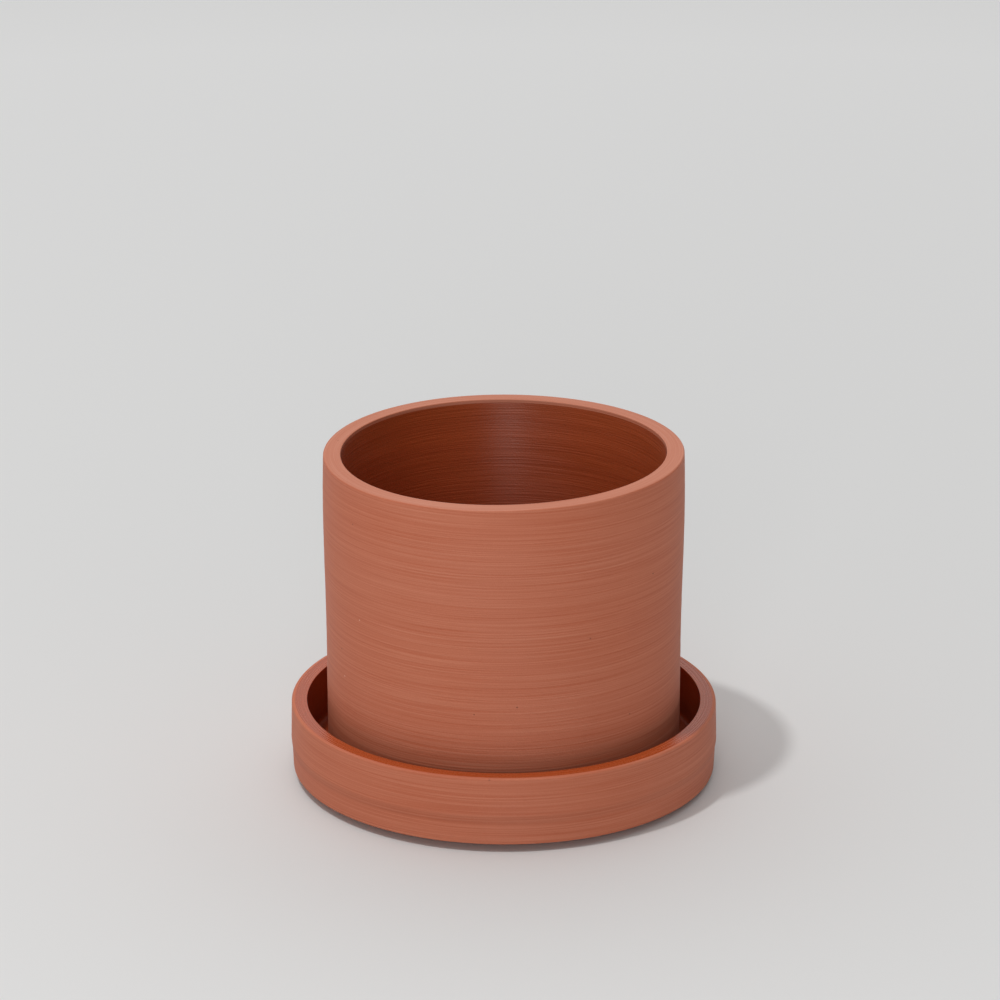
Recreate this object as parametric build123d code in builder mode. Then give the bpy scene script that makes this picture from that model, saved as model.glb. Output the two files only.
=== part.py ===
from build123d import *
import os

# A straight-sided terracotta plant pot that stands loose in a deep terracotta saucer.
# Four rubber feet are stuck under the saucer, and the pot's base has a drain hole.
# Millimetres, +Z up. The origin is on the common axis, at the level the feet stand on.

# Rubber feet
foot_r = 6.0
foot_h = 3.0
foot_round = 0.8
foot_circle_r = 75.0
foot_angles = {"front_left": 225, "front_right": 315, "rear_left": 135, "rear_right": 45}

# Saucer: radii outside the wall, heights from the saucer's own underside
saucer_base_r = 88.9
saucer_step_r = 89.3
saucer_step_h = 9.6
saucer_band_r = 89.7
saucer_band_h = 10.8
saucer_lip_r = 89.3
saucer_h = 29.2
saucer_lip_w = 6.7
saucer_floor = 6.7
saucer_floor_r = 82.3
saucer_underside_round = 1.0
saucer_step_round = 1.0
saucer_lip_round_out = 0.9
saucer_lip_round_in = 0.4
saucer_corner_round = 2.0

# Pot: radii outside the wall, heights from the pot's own underside
pot_base_r = 74.2
pot_straight_h = 50.0
pot_belly_r = 75.0
pot_belly_h = 109.0
pot_rim_r = 74.6
pot_rim_lean = 0.03
pot_h = 132.4
pot_rim_w = 7.4
pot_floor = 9.0
pot_floor_r = 66.4
pot_underside_round = 1.5
pot_rim_round_out = 0.8
pot_rim_round_in = 0.4
pot_corner_round = 8.0

# Turned recess under the pot, which leaves a foot ring that three notches drain
recess_h = 1.5
ring_inner_r = 62.0
recess_slope = 1.5
notch_w = 10.0
notch_h = 1.1
notch_length = 20.0
notch_count = 3

# Drain hole, its top edge rounded
drain_r = 9.0
drain_round = 1.0

saucer_z = foot_h
pot_z = foot_h + saucer_floor

os.makedirs("parts", exist_ok=True)


def round_corner(sketch, corner, radius):
    """Rounds the one corner of a profile that is nearest to the given point."""
    fillet(sketch.vertices().sort_by_distance(corner)[0], radius)


# Pot: an outer wall that is straight below, then swells a little and closes in to the rim
with BuildPart() as pot:
    with BuildSketch(Plane.XZ) as pot_profile:
        with BuildLine():
            straight = Line((pot_base_r, pot_z), (pot_base_r, pot_z + pot_straight_h))
            swell = Spline(
                straight @ 1,
                (pot_belly_r, pot_z + pot_belly_h),
                (pot_rim_r, pot_z + pot_h),
                tangents=[straight % 1, (-pot_rim_lean, 1)],
            )
            Polyline(
                swell @ 1,
                (pot_rim_r - pot_rim_w, pot_z + pot_h),
                (pot_floor_r, pot_z + pot_floor),
                (drain_r, pot_z + pot_floor),
                (drain_r, pot_z + recess_h),
                (ring_inner_r - recess_slope, pot_z + recess_h),
                (ring_inner_r, pot_z),
                straight @ 0,
            )
        make_face()
        round_corner(pot_profile, (pot_base_r, pot_z), pot_underside_round)
        round_corner(pot_profile, (pot_rim_r, pot_z + pot_h), pot_rim_round_out)
        round_corner(pot_profile, (pot_rim_r - pot_rim_w, pot_z + pot_h), pot_rim_round_in)
        round_corner(pot_profile, (pot_floor_r, pot_z + pot_floor), pot_corner_round)
        round_corner(pot_profile, (drain_r, pot_z + pot_floor), drain_round)
    revolve(axis=Axis.Z)
    with Locations((0, 0, pot_z)):
        with PolarLocations(pot_base_r, notch_count, start_angle=90):
            Box(2 * notch_length, notch_w, 2 * notch_h, mode=Mode.SUBTRACT)
pot.part.label = "pot"
export_step(pot.part, "parts/pot.step")


# Saucer: a flat dish with a low, upright wall, which steps out a little to a broad band
with BuildPart() as saucer:
    with BuildSketch(Plane.XZ) as saucer_profile:
        with BuildLine():
            Polyline(
                (0, saucer_z),
                (saucer_base_r, saucer_z),
                (saucer_step_r, saucer_z + saucer_step_h),
                (saucer_band_r, saucer_z + saucer_band_h),
                (saucer_lip_r, saucer_z + saucer_h),
                (saucer_lip_r - saucer_lip_w, saucer_z + saucer_h),
                (saucer_floor_r, saucer_z + saucer_floor),
                (0, saucer_z + saucer_floor),
                close=True,
            )
        make_face()
        round_corner(saucer_profile, (saucer_base_r, saucer_z), saucer_underside_round)
        step = (saucer_step_r, saucer_z + saucer_step_h)
        band = (saucer_band_r, saucer_z + saucer_band_h)
        round_corner(saucer_profile, step, saucer_step_round)
        round_corner(saucer_profile, band, saucer_step_round)
        round_corner(saucer_profile, (saucer_lip_r, saucer_z + saucer_h), saucer_lip_round_out)
        lip_inside = (saucer_lip_r - saucer_lip_w, saucer_z + saucer_h)
        round_corner(saucer_profile, lip_inside, saucer_lip_round_in)
        inside_corner = (saucer_floor_r, saucer_z + saucer_floor)
        round_corner(saucer_profile, inside_corner, saucer_corner_round)
    revolve(axis=Axis.Z)
saucer.part.label = "saucer"
export_step(saucer.part, "parts/saucer.step")


# Feet: four rubber discs, their lower edges rounded, on one circle under the saucer
for place, angle in foot_angles.items():
    with BuildPart() as foot:
        with PolarLocations(foot_circle_r, 1, start_angle=angle):
            Cylinder(foot_r, foot_h, align=(Align.CENTER, Align.CENTER, Align.MIN))
        fillet(foot.edges().group_by(Axis.Z)[0], foot_round)
    foot.part.label = "foot_" + place
    export_step(foot.part, "parts/foot_" + place + ".step")
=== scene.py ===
import math

import bpy
import numpy as np
from mathutils import Euler, Matrix, Vector


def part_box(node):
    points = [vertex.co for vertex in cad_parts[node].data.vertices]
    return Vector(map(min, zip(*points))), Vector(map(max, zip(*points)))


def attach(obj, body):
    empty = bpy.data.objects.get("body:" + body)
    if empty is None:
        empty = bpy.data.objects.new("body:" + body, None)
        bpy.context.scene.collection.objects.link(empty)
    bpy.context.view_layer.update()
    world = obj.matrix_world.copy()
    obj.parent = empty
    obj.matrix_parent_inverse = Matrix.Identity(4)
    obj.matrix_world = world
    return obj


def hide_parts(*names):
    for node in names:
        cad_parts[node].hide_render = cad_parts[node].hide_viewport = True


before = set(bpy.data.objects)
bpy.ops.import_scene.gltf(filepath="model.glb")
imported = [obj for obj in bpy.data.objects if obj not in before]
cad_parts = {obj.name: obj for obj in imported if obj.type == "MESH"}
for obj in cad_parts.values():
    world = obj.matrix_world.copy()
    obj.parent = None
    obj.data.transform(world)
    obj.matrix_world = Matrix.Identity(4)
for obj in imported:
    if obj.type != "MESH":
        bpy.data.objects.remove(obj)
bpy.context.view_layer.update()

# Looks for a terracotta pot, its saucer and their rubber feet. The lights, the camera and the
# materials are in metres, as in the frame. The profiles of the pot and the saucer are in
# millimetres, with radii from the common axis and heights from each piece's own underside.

MM = 0.001
SEGMENTS = 240


def low_and_high(node):
    """Underside height and top height of a CAD node, in millimetres."""
    low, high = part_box(node)
    return low.z / MM, high.z / MM


# ---------------------------------------------------------------- round profiles

LEAST_ARC_STEPS = 6
ARC_STEPS_PER_MM = 3


def line(start, end, step):
    """Points from start up to, and not including, end, about step apart."""
    start, end = np.array(start, float), np.array(end, float)
    count = max(1, int(round(np.linalg.norm(end - start) / step)))
    return start + (end - start) * (np.arange(count) / count)[:, None]


def half_angle(a, b):
    """Half the angle between two vectors."""
    cosine = a @ b / (np.linalg.norm(a) * np.linalg.norm(b))
    return math.acos(float(np.clip(cosine, -1, 1))) / 2


def arc(start, corner, end, steps):
    """Points on the round that leaves start and reaches end, tangent to their lines from corner."""
    t = (np.arange(steps) / steps)[:, None]
    weight = math.sin(half_angle(start - corner, end - corner))
    top = (1 - t) ** 2 * start + 2 * t * (1 - t) * weight * corner + t ** 2 * end
    return top / ((1 - t) ** 2 + 2 * t * (1 - t) * weight + t ** 2)


def rounded_profile(corners):
    """A closed profile through corners of (radius, height, round, step of the run that follows)."""
    cuts = []
    for i, (x, z, r, _) in enumerate(corners):
        here = np.array([x, z])
        back = np.array(corners[i - 1][:2]) - here
        ahead = np.array(corners[(i + 1) % len(corners)][:2]) - here
        back, ahead = back / np.linalg.norm(back), ahead / np.linalg.norm(ahead)
        cut = r / math.tan(half_angle(back, ahead))
        cuts.append((here + back * cut, here, here + ahead * cut))
    points = []
    for i, (_, _, r, step) in enumerate(corners):
        before, here, after = cuts[i]
        if r > 0:
            points.append(arc(before, here, after, max(LEAST_ARC_STEPS, int(r * ARC_STEPS_PER_MM))))
        points.append(line(after, cuts[(i + 1) % len(corners)][0], step))
    return np.concatenate(points)


def normals_of(profile):
    """Outward normals of a closed profile that runs anticlockwise in radius and height."""
    along = np.roll(profile, -1, 0) - np.roll(profile, 1, 0)
    along /= np.linalg.norm(along, axis=1)[:, None]
    return np.stack([along[:, 1], -along[:, 0]], 1)


# ---------------------------------------------------------------- turned clay

# Relief left by turning, in millimetres, and how far each kind is blurred: along the profile in
# points, and round the axis in segments
LINE_RELIEF = 0.008
LINE_BLUR = (1.0, 22)
RIPPLE_RELIEF = 0.015
RIPPLE_BLUR = (4.0, 33)
WAVE_RELIEF = 0.03
WAVE_BLUR_ROUND = 30

# How far the clay lies inside the CAD surface, usually and at the least
SKIN = 0.1
LEAST_SKIN = 0.005


def smooth_noise(rows, columns, row_blur, column_blur, seed):
    """Noise on a grid that wraps round both ways, blurred by so many cells, with a spread of 1."""
    raw = np.fft.fft2(np.random.default_rng(seed).standard_normal((rows, columns)))
    fr, fc = np.fft.fftfreq(rows)[:, None], np.fft.fftfreq(columns)[None]
    raw *= np.exp(-2 * math.pi ** 2 * ((fr * row_blur) ** 2 + (fc * column_blur) ** 2))
    noise = np.real(np.fft.ifft2(raw))
    return (noise - noise.mean()) / noise.std()


def turned_relief(rows, wave_blur, seed):
    """How far each point stands out from the CAD surface, which is always a little inwards: fine
    lines, ripples and broad waves. The waves are blurred by wave_blur points along the profile."""
    relief = LINE_RELIEF * smooth_noise(rows, SEGMENTS, *LINE_BLUR, seed)
    relief += RIPPLE_RELIEF * smooth_noise(rows, SEGMENTS, *RIPPLE_BLUR, seed + 1)
    relief += WAVE_RELIEF * smooth_noise(rows, SEGMENTS, wave_blur, WAVE_BLUR_ROUND, seed + 2)
    return np.minimum(relief - SKIN, -LEAST_SKIN)


def turned_mesh(name, profile, relief, zones, reshape, solid_centre=False):
    """Revolves a closed profile into a mesh. relief is how far each point stands out, in mm.
    zones holds the material slot of the ring of faces that starts at each of the profile's points.
    reshape gives each point its height, from its radius, its height and its angle. A solid centre
    has a flat cap on its first and its last ring, in place of the bore between them."""
    rows = len(profile)
    normal = normals_of(profile)
    radius = profile[:, :1] + relief * normal[:, :1]
    height = profile[:, 1:] + relief * normal[:, 1:]
    angle = np.arange(SEGMENTS) * (2 * math.pi / SEGMENTS)
    height = reshape(radius, height, angle[None])
    points = np.stack([radius * np.cos(angle), radius * np.sin(angle), height], -1) * MM
    rings = rows - 1 if solid_centre else rows
    i, j = np.meshgrid(np.arange(rings), np.arange(SEGMENTS), indexing="ij")
    i2, j2 = (i + 1) % rows, (j + 1) % SEGMENTS
    quads = np.stack([i * SEGMENTS + j, i * SEGMENTS + j2, i2 * SEGMENTS + j2, i2 * SEGMENTS + j], -1)
    faces = quads.reshape(-1, 4).tolist()
    slots = np.repeat(zones[:rings], SEGMENTS)
    if solid_centre:
        ring = np.arange(SEGMENTS)
        faces += [ring[::-1].tolist(), (ring + rings * SEGMENTS).tolist()]
        slots = np.append(slots, [zones[0], zones[-1]])
    mesh = bpy.data.meshes.new(name)
    mesh.from_pydata(points.reshape(-1, 3).tolist(), [], faces)
    mesh.polygons.foreach_set("use_smooth", np.ones(len(mesh.polygons), bool))
    mesh.polygons.foreach_set("material_index", slots)
    mesh.validate()
    piece = bpy.data.objects.new(name, mesh)
    bpy.context.scene.collection.objects.link(piece)
    return piece


# ---------------------------------------------------------------- the pot

POT_LOW, POT_HIGH = low_and_high("pot")

POT_BASE_R = 74.2
POT_STRAIGHT_H = 50.0
POT_BELLY_R = 75.0
POT_BELLY_H = 109.0
POT_RIM_R = 74.6
POT_RIM_LEAN = 0.03
POT_INNER_R = 67.2
POT_FLOOR = 9.0
POT_FLOOR_R = 66.4
POT_UNDERSIDE_ROUND = 1.5
POT_RIM_ROUND_OUT = 0.8
POT_RIM_ROUND_IN = 0.4
POT_CORNER_ROUND = 8.0
DRAIN_R = 9.0
DRAIN_ROUND = 1.2
POT_WAVE_BLUR = 22.0
POT_SEED = 11

# Turned recess under the pot, and the ring round it that the pot stands on
RECESS_H = 1.5
RECESS_SLOPE = 1.5
RECESS_ROUND = 0.4
RING_INNER_R = 62.0
RING_MIDDLE_R = 68.0
RING_ROUND = 0.5

# Drain notches through the ring. The clay above them is squeezed, as far up as the room goes
NOTCHES = 3
NOTCH_W = 10.0
NOTCH_H = 1.1
NOTCH_EDGE = 1.6
NOTCH_AT_R = 70.0
NOTCH_ROOM = 6.0
NOTCH_REACH_IN = 2.0

# How far the rim lies below the CAD rim on average, and how it tilts and bends round the pot
RIM_FALL = 0.85
RIM_TILT = 0.64
RIM_BEND = -0.09
RIM_TWIST = -0.335

# The glaze starts a little way down inside the rim, and paler clay with painted sheen covers the rim's top
POT_GLAZE_DROP = 0.8
POT_GLAZE_EDGE = 0.2
RIM_SHEEN_DROP = 0.4
FLOOR_MARGIN = 0.5


def smooth_step(t):
    """Goes from 0 to 1 as t does, level at both ends."""
    return 3 * t ** 2 - 2 * t ** 3


def pot_wall(height):
    """Outer radius at a height above the pot's base: straight, then swelling to the belly, then
    drawing in to the rim."""
    height = np.clip(height, 0, POT_HIGH - POT_LOW)
    up = np.clip((height - POT_STRAIGHT_H) / (POT_BELLY_H - POT_STRAIGHT_H), 0, 1)
    swelling = POT_BASE_R + (POT_BELLY_R - POT_BASE_R) * smooth_step(up)
    top_run = POT_HIGH - POT_LOW - POT_BELLY_H
    on = np.clip((height - POT_BELLY_H) / top_run, 0, 1)
    drawn_in = (POT_BELLY_R - POT_RIM_R) * smooth_step(on)
    lean = POT_RIM_LEAN * top_run * (on ** 3 - on ** 2)
    return swelling - drawn_in - lean


def pot_profile():
    """Round the section, from the drain hole's lower edge outwards, up the wall and back inside."""
    low, high = POT_LOW, POT_HIGH
    profile = rounded_profile([
        (DRAIN_R, low + RECESS_H, RECESS_ROUND, 2.5),
        (RING_INNER_R - RECESS_SLOPE, low + RECESS_H, RECESS_ROUND, 0.5),
        (RING_INNER_R, low, RING_ROUND, 1.2),
        (POT_BASE_R, low, POT_UNDERSIDE_ROUND, 0.85),
        (POT_RIM_R, high, POT_RIM_ROUND_OUT, 0.6),
        (POT_INNER_R, high, POT_RIM_ROUND_IN, 1.15),
        (POT_FLOOR_R, low + POT_FLOOR, POT_CORNER_ROUND, 1.8),
        (DRAIN_R, low + POT_FLOOR, DRAIN_ROUND, 1.2),
    ])
    # the straight outer wall becomes the curved one
    height = profile[:, 1] - low
    straight = POT_BASE_R + (POT_RIM_R - POT_BASE_R) * height / (high - low)
    share = np.clip((profile[:, 0] - POT_INNER_R) / (POT_RIM_R - POT_INNER_R), 0, 1)
    profile[:, 0] += (pot_wall(height) - straight) * share
    return profile


def notch_lift(radius, height, angle):
    """How far the clay is lifted over the drain notches."""
    pitch = 2 * math.pi / NOTCHES
    offset = (angle - math.pi / 2 + pitch / 2) % pitch - pitch / 2
    across = np.abs(offset) * NOTCH_AT_R
    rise = NOTCH_H * np.clip(((NOTCH_W + NOTCH_EDGE) / 2 - across) / NOTCH_EDGE, 0, 1)
    room = np.where(radius > RING_MIDDLE_R, NOTCH_ROOM, RECESS_H)
    share = np.clip(1 - (height - POT_LOW) / room, 0, 1)
    return rise * share * (radius > RING_INNER_R - NOTCH_REACH_IN)


def pot_reshape(radius, height, angle):
    """Cuts the notches, and lets the rim rise and fall a little round the pot."""
    wave = RIM_TILT * np.cos(angle) + RIM_BEND * np.cos(2 * angle) + RIM_TWIST * np.sin(2 * angle)
    share = (height - POT_LOW) / (POT_HIGH - POT_LOW)
    return height + notch_lift(radius, height, angle) + (wave - RIM_FALL) * share


def pot_piece():
    """The pot, with slots for its raw clay, its glaze and its rim, whose paler colour is painted sheen."""
    profile = pot_profile()
    relief = turned_relief(len(profile), POT_WAVE_BLUR, POT_SEED)
    radius, height = profile.T
    inside = radius < POT_INNER_R + POT_GLAZE_EDGE
    glazed = inside & (height > POT_LOW + POT_FLOOR - FLOOR_MARGIN) & (height < POT_HIGH - POT_GLAZE_DROP)
    # The rim's top gets the paler clay of painted sheen
    rim = ~glazed & (height > POT_HIGH - np.where(inside, POT_GLAZE_DROP, RIM_SHEEN_DROP))
    return turned_mesh("pot_clay_body", profile, relief, glazed + 2 * rim, pot_reshape)


# ---------------------------------------------------------------- the saucer

SAUCER_LOW, SAUCER_HIGH = low_and_high("saucer")

# The band is the soft corner on the side, which is rounder here than in the CAD and a little higher
SAUCER_BASE_R = 88.9
SAUCER_STEP_H = 9.6
SAUCER_BAND_R = 89.7
SAUCER_BAND_H = 12.6
SAUCER_LIP_R = 89.3
SAUCER_LIP_W = 6.7
SAUCER_FLOOR = 6.7
SAUCER_FLOOR_R = 82.3
SAUCER_CAP_R = 2.5
SAUCER_UNDERSIDE_ROUND = 1.0
SAUCER_STEP_ROUND = 1.0
SAUCER_BAND_ROUND = 3.0
SAUCER_LIP_ROUND_OUT = 0.9
SAUCER_LIP_ROUND_IN = 0.4
SAUCER_CORNER_ROUND = 2.0
SAUCER_WAVE_BLUR = 26.0
SAUCER_SEED = 21

# How the wall tilts and bends round the saucer. This starts at the level radius and grows over the
# reach
LIP_TILT = -0.377
LIP_BEND = -0.197
LEVEL_R = 80.0
LEVEL_REACH = 8.0

# The glaze starts on top of the lip, so far in from its outer edge
SAUCER_GLAZE_IN = 1.0
LIP_DROP = 0.3


def saucer_profile():
    """Round the section, from the middle of the underside outwards, up the wall and back inside."""
    low, high = SAUCER_LOW, SAUCER_HIGH
    return rounded_profile([
        (SAUCER_CAP_R, low, 0, 3.0),
        (SAUCER_BASE_R, low, SAUCER_UNDERSIDE_ROUND, 0.55),
        (SAUCER_LIP_R, low + SAUCER_STEP_H, SAUCER_STEP_ROUND, 0.3),
        (SAUCER_BAND_R, low + SAUCER_BAND_H, SAUCER_BAND_ROUND, 0.55),
        (SAUCER_LIP_R, high, SAUCER_LIP_ROUND_OUT, 0.6),
        (SAUCER_LIP_R - SAUCER_LIP_W, high, SAUCER_LIP_ROUND_IN, 0.6),
        (SAUCER_FLOOR_R, low + SAUCER_FLOOR, SAUCER_CORNER_ROUND, 1.6),
        (SAUCER_CAP_R, low + SAUCER_FLOOR, 0, SAUCER_FLOOR),
    ])


def saucer_reshape(radius, height, angle):
    """Lets the wall rise and fall a little round the saucer, and leaves the rest level."""
    wave = LIP_TILT * np.cos(angle) + LIP_BEND * np.cos(2 * angle)
    return height + wave * np.clip((radius - LEVEL_R) / LEVEL_REACH, 0, 1)


def saucer_piece():
    """The saucer, with slots for its raw clay, its glazed trough and its glazed lip."""
    profile = saucer_profile()
    relief = turned_relief(len(profile), SAUCER_WAVE_BLUR, SAUCER_SEED)
    radius, height = profile.T
    glazed = (radius < SAUCER_LIP_R - SAUCER_GLAZE_IN) & (height > SAUCER_LOW + SAUCER_FLOOR - FLOOR_MARGIN)
    lip = glazed & (height > SAUCER_HIGH - LIP_DROP)
    zones = glazed.astype(int) + lip
    return turned_mesh("saucer_clay_body", profile, relief, zones, saucer_reshape, solid_centre=True)


# ---------------------------------------------------------------- node trees


class Nodes:
    """Short names for the calls that build a node tree."""

    def __init__(self, tree):
        self.tree = tree

    def add(self, kind, **settings):
        node = self.tree.nodes.new(kind)
        for key, value in settings.items():
            setattr(node, key, value)
        return node

    def link(self, source, target):
        self.tree.links.new(source, target)

    def feed(self, target, value):
        """Links a socket, or sets a plain number, vector or colour."""
        if isinstance(value, bpy.types.NodeSocket):
            self.link(value, target)
        else:
            target.default_value = value

    def math(self, operation, a, b=0.0, c=0.0):
        node = self.add("ShaderNodeMath", operation=operation)
        for socket, value in zip(node.inputs, (a, b, c)):
            self.feed(socket, value)
        return node.outputs[0]

    def vector(self, operation, a, b):
        node = self.add("ShaderNodeVectorMath", operation=operation)
        self.feed(node.inputs[0], a)
        self.feed(node.inputs[1], b)
        return node

    def coordinates(self, kind="Object"):
        return self.add("ShaderNodeTexCoord").outputs[kind]

    def noise(self, vector, scale, detail=2.0):
        node = self.add("ShaderNodeTexNoise")
        self.link(vector, node.inputs["Vector"])
        node.inputs["Scale"].default_value = scale
        node.inputs["Detail"].default_value = detail
        return node.outputs["Fac"]

    def spots(self, vector, scale, size, fade):
        """1 in round spots scattered about, 0 elsewhere."""
        node = self.add("ShaderNodeTexVoronoi")
        self.link(vector, node.inputs["Vector"])
        node.inputs["Scale"].default_value = scale
        return self.span(node.outputs["Distance"], size + fade, size)

    def span(self, value, low, high, to_low=0.0, to_high=1.0):
        """Maps low..high onto to_low..to_high, clamped."""
        node = self.add("ShaderNodeMapRange")
        self.feed(node.inputs["Value"], value)
        names = ("From Min", "From Max", "To Min", "To Max")
        for socket, number in zip(names, (low, high, to_low, to_high)):
            node.inputs[socket].default_value = number
        return node.outputs["Result"]

    def mix(self, factor, a, b):
        node = self.add("ShaderNodeMix", data_type="RGBA")
        self.feed(node.inputs["Factor"], factor)
        self.feed(node.inputs["A"], a)
        self.feed(node.inputs["B"], b)
        return node.outputs["Result"]

    def tinted(self, colour, tint):
        """A colour times a tint, channel by channel."""
        return self.vector("MULTIPLY", colour, tint).outputs[0]

    def shaded(self, colour, shade):
        """A colour times a number."""
        node = self.add("ShaderNodeVectorMath", operation="SCALE")
        self.link(colour, node.inputs[0])
        self.link(shade, node.inputs["Scale"])
        return node.outputs[0]

    def axes(self, vector):
        """The x, y and z of a vector."""
        node = self.add("ShaderNodeSeparateXYZ")
        self.link(vector, node.inputs[0])
        return node.outputs

    def turned_vector(self, around, along):
        """Coordinates that stretch a texture round the axis: so many cells per metre each way.
        Height and radius are added, so that lines run level on a wall and in rings on a rim."""
        x, y, z = self.axes(self.coordinates())
        squares = self.math("ADD", self.math("MULTIPLY", x, x), self.math("MULTIPLY", y, y))
        radius = self.math("SQRT", squares)
        joined = self.add("ShaderNodeCombineXYZ")
        self.link(self.math("MULTIPLY", x, around), joined.inputs[0])
        self.link(self.math("MULTIPLY", y, around), joined.inputs[1])
        self.link(self.math("MULTIPLY", self.math("ADD", z, radius), along), joined.inputs[2])
        return joined.outputs[0]


class Surface(Nodes):
    """A new material with one Principled shader."""

    def __init__(self, name):
        self.material = bpy.data.materials.new(name)
        self.material.use_nodes = True
        super().__init__(self.material.node_tree)
        self.tree.nodes.clear()
        self.shader = self.add("ShaderNodeBsdfPrincipled")
        output = self.add("ShaderNodeOutputMaterial")
        self.link(self.shader.outputs["BSDF"], output.inputs["Surface"])

    def set(self, socket, value):
        self.feed(self.shader.inputs[socket], value)

    def brushed(self, amount):
        """Spreads the gloss across lines that run round the axis."""
        self.set("Anisotropic", amount)
        self.set("Anisotropic Rotation", 0.25)
        tangent = self.add("ShaderNodeTangent", direction_type="RADIAL", axis="Z")
        self.set("Tangent", tangent.outputs[0])

    def bump(self, height, strength, distance):
        node = self.add("ShaderNodeBump")
        node.inputs["Strength"].default_value = strength
        node.inputs["Distance"].default_value = distance
        self.link(height, node.inputs["Height"])
        self.set("Normal", node.outputs["Normal"])


# ---------------------------------------------------------------- materials

# Raw clay: its usual, dark and pale colours
CLAY = ((0.587, 0.168, 0.084, 1), (0.558, 0.143, 0.063, 1), (0.605, 0.193, 0.109, 1))
# Paler clay for the rim's top: painted sheen, the pale reflection of the bright studio behind the pot
RIM_PAINTED_SHEEN_CLAY = ((0.615, 0.215, 0.126, 1), (0.585, 0.192, 0.105, 1), (0.64, 0.24, 0.15, 1))
CLAY_ROUGHNESS = (0.60, 0.76)
CLAY_BRUSHING = 0.3

# The crests of the turned lines are paler and brighter, and their grooves are darker and a deeper red
GROOVE_TINT = (0.873, 0.658, 0.491, 1)
CREST_TINT = (1.127, 1.342, 1.509, 1)
CREST_RANGE = (0.325, 0.925)

# Lines left by turning: cells per metre round the piece and up it, and how much each layer shows
CLAY_LINES = ((16.0, 1700.0, 0.76), (10.0, 800.0, 0.20), (6.0, 300.0, 0.04))
GLAZE_LINES = ((40.0, 1900.0, 0.65), (24.0, 800.0, 0.25), (12.0, 300.0, 0.10))

# Broader bands, in cells per metre round the piece and up it, and how much of their colour shows
CLAY_BANDS = (2.0, 130.0)
CLAY_BAND_SHARE = 0.2
GLAZE_BANDS = (3.0, 140.0)
GLAZE_BAND_SHARE = 0.7

# Cloudy patches and grain, in cells per metre
CLOUDS = 18.0
CLOUD_RANGE = (0.4, 0.7)
CLOUD_SHARE = 0.35
CLAY_GRAIN = 2600.0
GLAZE_GRAIN = 1800.0
RUBBER_GRAIN = 1500.0
GRAIN_SHARE = 0.25

# Specks and pits: cells per metre, and their radius and soft edge as shares of a cell
SPECKS = (55.0, 0.018, 0.012)
SPECK_COLOUR = (0.80, 0.52, 0.40, 1)
SPECK_SHARE = 0.5
PITS = (60.0, 0.018, 0.012)
PIT_COLOUR = (0.20, 0.06, 0.03, 1)
PIT_SHARE = 0.6
PIT_SQUASH = (1.1, 0.9, 1.3)

# A band of painted shade round the saucer's wall, where it faces a little down below its soft corner: its
# heights, its soft edge and its brightness
SAUCER_SHADE_BAND = (0.0118, 0.0168)
SHADE_BAND_FADE = 0.0012
SHADE_BAND_DARKNESS = 0.93

# Glazes: the two colours that the bands mix, and how dark and how bright the lines are
GLAZE = ((0.43, 0.079, 0.018, 1), (0.37, 0.063, 0.014, 1))
LIP_GLAZE = ((0.48, 0.086, 0.018, 1), (0.42, 0.070, 0.014, 1))
# The trough's glaze is a darker copy of the lip's: painted shade in the narrow trough beside the pot
GLAZE_IN_SHADED_TROUGH = ((0.30, 0.042, 0.008, 1), (0.25, 0.034, 0.006, 1))
GLAZE_SHADES = (0.89, 1.11)

RUBBER = ((0.018, 0.018, 0.018, 1), (0.035, 0.034, 0.033, 1))
RUBBER_ROUGHNESS = (0.55, 0.75)

# The middle of a noise's range, where nearly all of it lies
NOISE_RANGE = (0.3, 0.7)
BAND_RANGE = (0.35, 0.65)


def turned_lines(n, layers):
    """A height between 0 and 1 for lines left by turning, the sum of finer and coarser layers."""
    total = 0.0
    for around, along, weight in layers:
        lines = n.noise(n.turned_vector(around, along), 1.0, 1.0)
        total = n.math("MULTIPLY_ADD", lines, weight, total)
    return total


def with_painted_shade_band(n, colour, ring):
    """The colour with a band of painted shade, slightly darker, between two heights."""
    height = n.axes(n.coordinates())[2]
    above = n.span(height, ring[0], ring[0] + SHADE_BAND_FADE)
    below = n.span(height, ring[1], ring[1] - SHADE_BAND_FADE)
    return n.shaded(colour, n.span(n.math("MULTIPLY", above, below), 0.0, 1.0, 1.0, SHADE_BAND_DARKNESS))


def raw_clay(name, colours, ring=None):
    """Bare, fired and finely turned clay. colours holds its usual, dark and pale colours, and ring the
    heights of a slightly darker band of painted shade."""
    n = Surface(name)
    usual, dark, pale = colours
    place = n.coordinates()
    lines = turned_lines(n, CLAY_LINES)
    grained = n.math("MULTIPLY_ADD", n.noise(place, CLAY_GRAIN), GRAIN_SHARE, lines)
    bands = n.noise(n.turned_vector(*CLAY_BANDS), 1.0)
    clouds = n.noise(place, CLOUDS, 3.0)
    colour = n.mix(n.span(bands, *BAND_RANGE, 0.0, CLAY_BAND_SHARE), usual, dark)
    colour = n.mix(n.span(clouds, *CLOUD_RANGE, 0.0, CLOUD_SHARE), colour, pale)
    colour = n.tinted(colour, n.mix(n.span(grained, *CREST_RANGE), GROOVE_TINT, CREST_TINT))
    if ring:
        # a slightly darker band of painted shade, where the saucer's wall faces a little down
        colour = with_painted_shade_band(n, colour, ring)
    speck = n.spots(place, *SPECKS)
    pit = n.spots(n.vector("MULTIPLY", place, PIT_SQUASH).outputs[0], *PITS)
    colour = n.mix(n.math("MULTIPLY", speck, SPECK_SHARE), colour, SPECK_COLOUR)
    colour = n.mix(n.math("MULTIPLY", pit, PIT_SHARE), colour, PIT_COLOUR)
    n.set("Base Color", colour)
    n.set("Roughness", n.span(lines, *NOISE_RANGE, *CLAY_ROUGHNESS))
    n.brushed(CLAY_BRUSHING)
    n.bump(n.math("SUBTRACT", grained, pit), strength=0.6, distance=0.0002)
    return n.material


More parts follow.
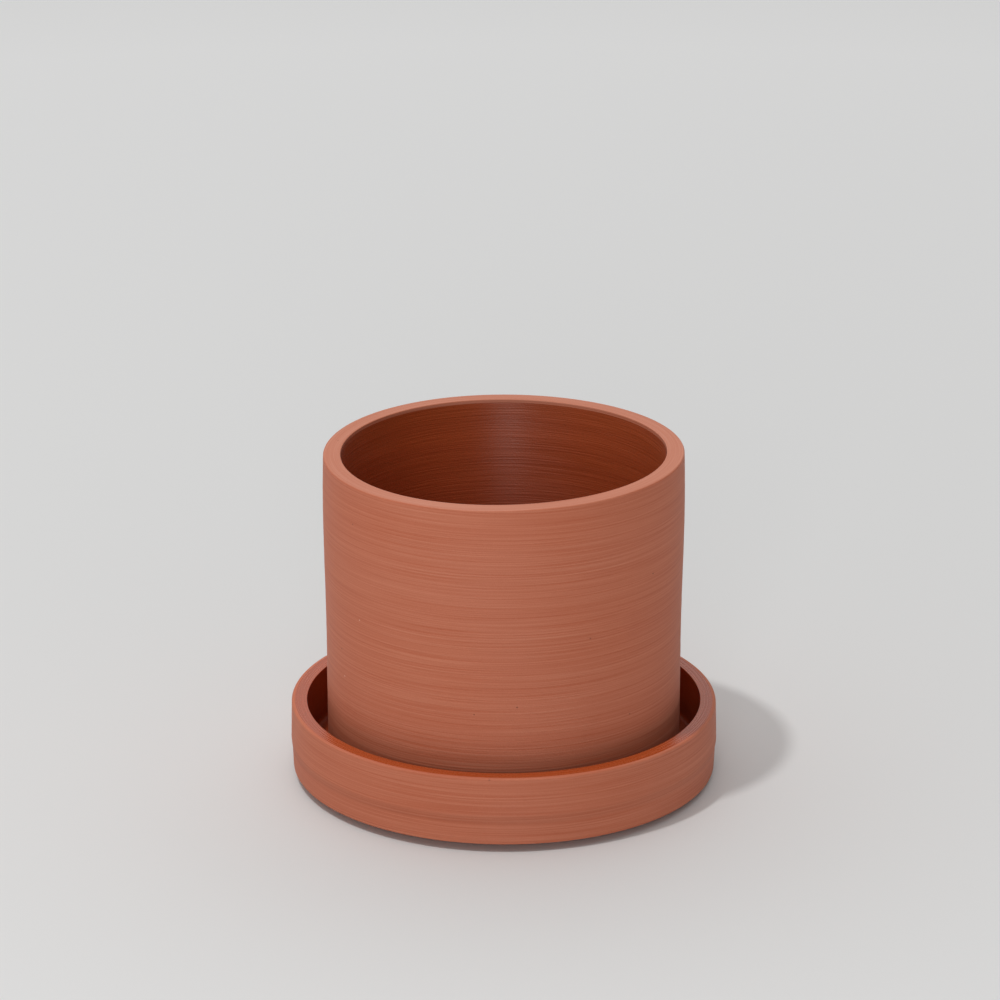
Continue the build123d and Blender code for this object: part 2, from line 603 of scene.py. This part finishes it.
def glazed_clay(name, colours, roughness, gloss, brushing, ridges):
    """Clay under a thin glaze. colours and roughness are each a pair, which bands and lines mix,
    gloss is the specular level, and ridges is how deep the lines are."""
    n = Surface(name)
    bands = n.noise(n.turned_vector(*GLAZE_BANDS), 1.0, 3.0)
    grain = n.noise(n.coordinates(), GLAZE_GRAIN)
    lines = n.math("MULTIPLY", turned_lines(n, GLAZE_LINES), 1 - GRAIN_SHARE)
    lines = n.math("MULTIPLY_ADD", grain, GRAIN_SHARE, lines)
    colour = n.mix(n.span(bands, *BAND_RANGE, 0.0, GLAZE_BAND_SHARE), *colours)
    n.set("Base Color", n.shaded(colour, n.span(lines, *NOISE_RANGE, *GLAZE_SHADES)))
    n.set("Roughness", n.span(lines, *NOISE_RANGE, *roughness))
    n.set("Specular IOR Level", gloss)
    n.brushed(brushing)
    n.bump(lines, strength=1.0, distance=ridges)
    return n.material


def rubber(name):
    n = Surface(name)
    grain = n.noise(n.coordinates(), RUBBER_GRAIN, 3.0)
    n.set("Base Color", n.mix(n.span(grain, *NOISE_RANGE), *RUBBER))
    n.set("Roughness", n.span(grain, *NOISE_RANGE, *RUBBER_ROUGHNESS))
    n.bump(grain, strength=0.3, distance=0.00008)
    return n.material


# ---------------------------------------------------------------- light, floor and camera

# The floor is pale paper, painted darker near the axis and paler further out, as painted shade and light
# for how the light falls across it, over this range of distances from the axis
FLOOR_SIZE = 60
NEAR_PAPER_PAINTED_SHADE = (0.768, 0.768, 0.762, 1)
PAPER_FAR = (0.985, 0.985, 0.980, 1)
PAPER_SPREAD = (0.15, 1.35)

# A small lamp high up at the front left, and a soft panel in front, both aimed at the pot
LIT_POINT = (0, 0, 0.07)
KEY_PLACE = (-0.65, -0.46, 2.23)
KEY_SIZE = 0.13
KEY_POWER = 15.0
PANEL_PLACE = (-0.15, -2.3, 0.82)
PANEL_SIZE = (0.8, 0.8)
PANEL_POWER = 11.0

# The studio's soft light: how bright the surroundings are overhead, from high up behind, and from
# low down in front and on the left
SKY_SPREAD = 3.0
SKY_LOW = 0.36
SKY_TOP = 0.565
SKY_HIGH_BACK = 0.857
SKY_FRONT = 0.175
SKY_LEFT = 0.239

# Angles in degrees, lens and sensor in millimetres
CAMERA_PLACE = (0, -1.561056, 0.671938)
CAMERA_TILT = 19.4929
CAMERA_PAN = 0.05565
CAMERA_ROLL = -0.041
CAMERA_LENS = 144
CAMERA_SENSOR = 36
CAMERA_REACH = 100


def area_light(name, place, size, power):
    """A lamp aimed at the pot: a disc of one size, or a panel of a width and a height."""
    data = bpy.data.lights.new(name, "AREA")
    if isinstance(size, tuple):
        data.shape = "RECTANGLE"
        data.size, data.size_y = size
    else:
        data.shape = "DISK"
        data.size = size
    data.energy = power
    lamp = bpy.data.objects.new(name, data)
    lamp.location = place
    lamp.rotation_euler = (Vector(place) - Vector(LIT_POINT)).to_track_quat("Z", "Y").to_euler()
    bpy.context.scene.collection.objects.link(lamp)


def stage():
    """The paper floor and the two lamps."""
    bpy.ops.mesh.primitive_plane_add(size=FLOOR_SIZE)
    floor = bpy.context.object
    floor.name = "floor"
    n = Surface("floor_paper")
    away = n.add("ShaderNodeVectorMath", operation="LENGTH")
    n.link(n.coordinates(), away.inputs[0])
    # Painted shade and light: the paper darker near the pot and paler far off
    n.set("Base Color", n.mix(n.span(away.outputs["Value"], *PAPER_SPREAD), NEAR_PAPER_PAINTED_SHADE, PAPER_FAR))
    n.set("Roughness", 0.9)
    n.set("Specular IOR Level", 0.1)
    floor.data.materials.append(n.material)
    area_light("key", KEY_PLACE, KEY_SIZE, KEY_POWER)
    area_light("front_panel", PANEL_PLACE, PANEL_SIZE, PANEL_POWER)


def studio_world():
    """Soft light from all round, stronger towards some sides, as from large white panels."""
    world = bpy.data.worlds.new("studio")
    bpy.context.scene.world = world
    world.use_nodes = True
    n = Nodes(world.node_tree)
    direction = n.coordinates("Generated")
    sides = (
        ((0, 0, 1), SKY_TOP),
        ((0, 1, 1), SKY_HIGH_BACK),
        ((0, -1, SKY_LOW), SKY_FRONT),
        ((-1, 0, SKY_LOW), SKY_LEFT),
    )
    total = 0.0
    for side, strength in sides:
        towards = n.vector("DOT_PRODUCT", direction, Vector(side).normalized()).outputs["Value"]
        lobe = n.math("POWER", n.math("MAXIMUM", towards, 0.0), SKY_SPREAD)
        total = n.math("MULTIPLY_ADD", lobe, strength, total)
    background = n.tree.nodes["Background"]
    background.inputs["Color"].default_value = (1, 1, 1, 1)
    n.link(total, background.inputs["Strength"])


def camera():
    """The camera, turned about the upright, then tilted down, then rolled."""
    data = bpy.data.cameras.new("camera")
    data.lens = CAMERA_LENS
    data.sensor_width = CAMERA_SENSOR
    data.clip_end = CAMERA_REACH
    eye = bpy.data.objects.new("camera", data)
    turn = Euler((0, 0, math.radians(CAMERA_PAN))).to_matrix()
    tilt = Euler((math.radians(90 - CAMERA_TILT), 0, 0)).to_matrix()
    roll = Euler((0, 0, math.radians(CAMERA_ROLL))).to_matrix()
    eye.matrix_world = Matrix.Translation(CAMERA_PLACE) @ (turn @ tilt @ roll).to_4x4()
    bpy.context.scene.collection.objects.link(eye)
    bpy.context.scene.camera = eye


# ---------------------------------------------------------------- the scene


def dress(piece, *materials):
    """Gives a piece its material slots, in order."""
    for material in materials:
        piece.data.materials.append(material)


camera()
stage()
studio_world()
bpy.context.scene.view_settings.view_transform = "Standard"

pot = pot_piece()
dress(
    pot,
    raw_clay("raw_clay_pot", CLAY),
    glazed_clay("glazed_clay_pot", GLAZE, (0.32, 0.48), gloss=0.66, brushing=0.85, ridges=0.0003),
    # the rim's paler clay is painted sheen
    raw_clay("raw_clay_sheen_rim", RIM_PAINTED_SHEEN_CLAY),
)
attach(pot, "pot")
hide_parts("pot")

saucer = saucer_piece()
dress(
    saucer,
    # the saucer's clay carries a band of painted shade
    raw_clay("raw_clay_saucer", CLAY, SAUCER_SHADE_BAND),
    # the trough's darker glaze is painted shade
    glazed_clay("glazed_clay_shaded_trough", GLAZE_IN_SHADED_TROUGH, (0.34, 0.50), gloss=0.2, brushing=0.0, ridges=0.0001),
    glazed_clay("glazed_clay_lip", LIP_GLAZE, (0.22, 0.32), gloss=0.5, brushing=0.0, ridges=0.00004),
)
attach(saucer, "saucer")
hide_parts("saucer")

foot_rubber = rubber("foot_rubber")
for node_name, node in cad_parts.items():
    if node_name.startswith("foot_"):
        node.material_slots[0].material = foot_rubber
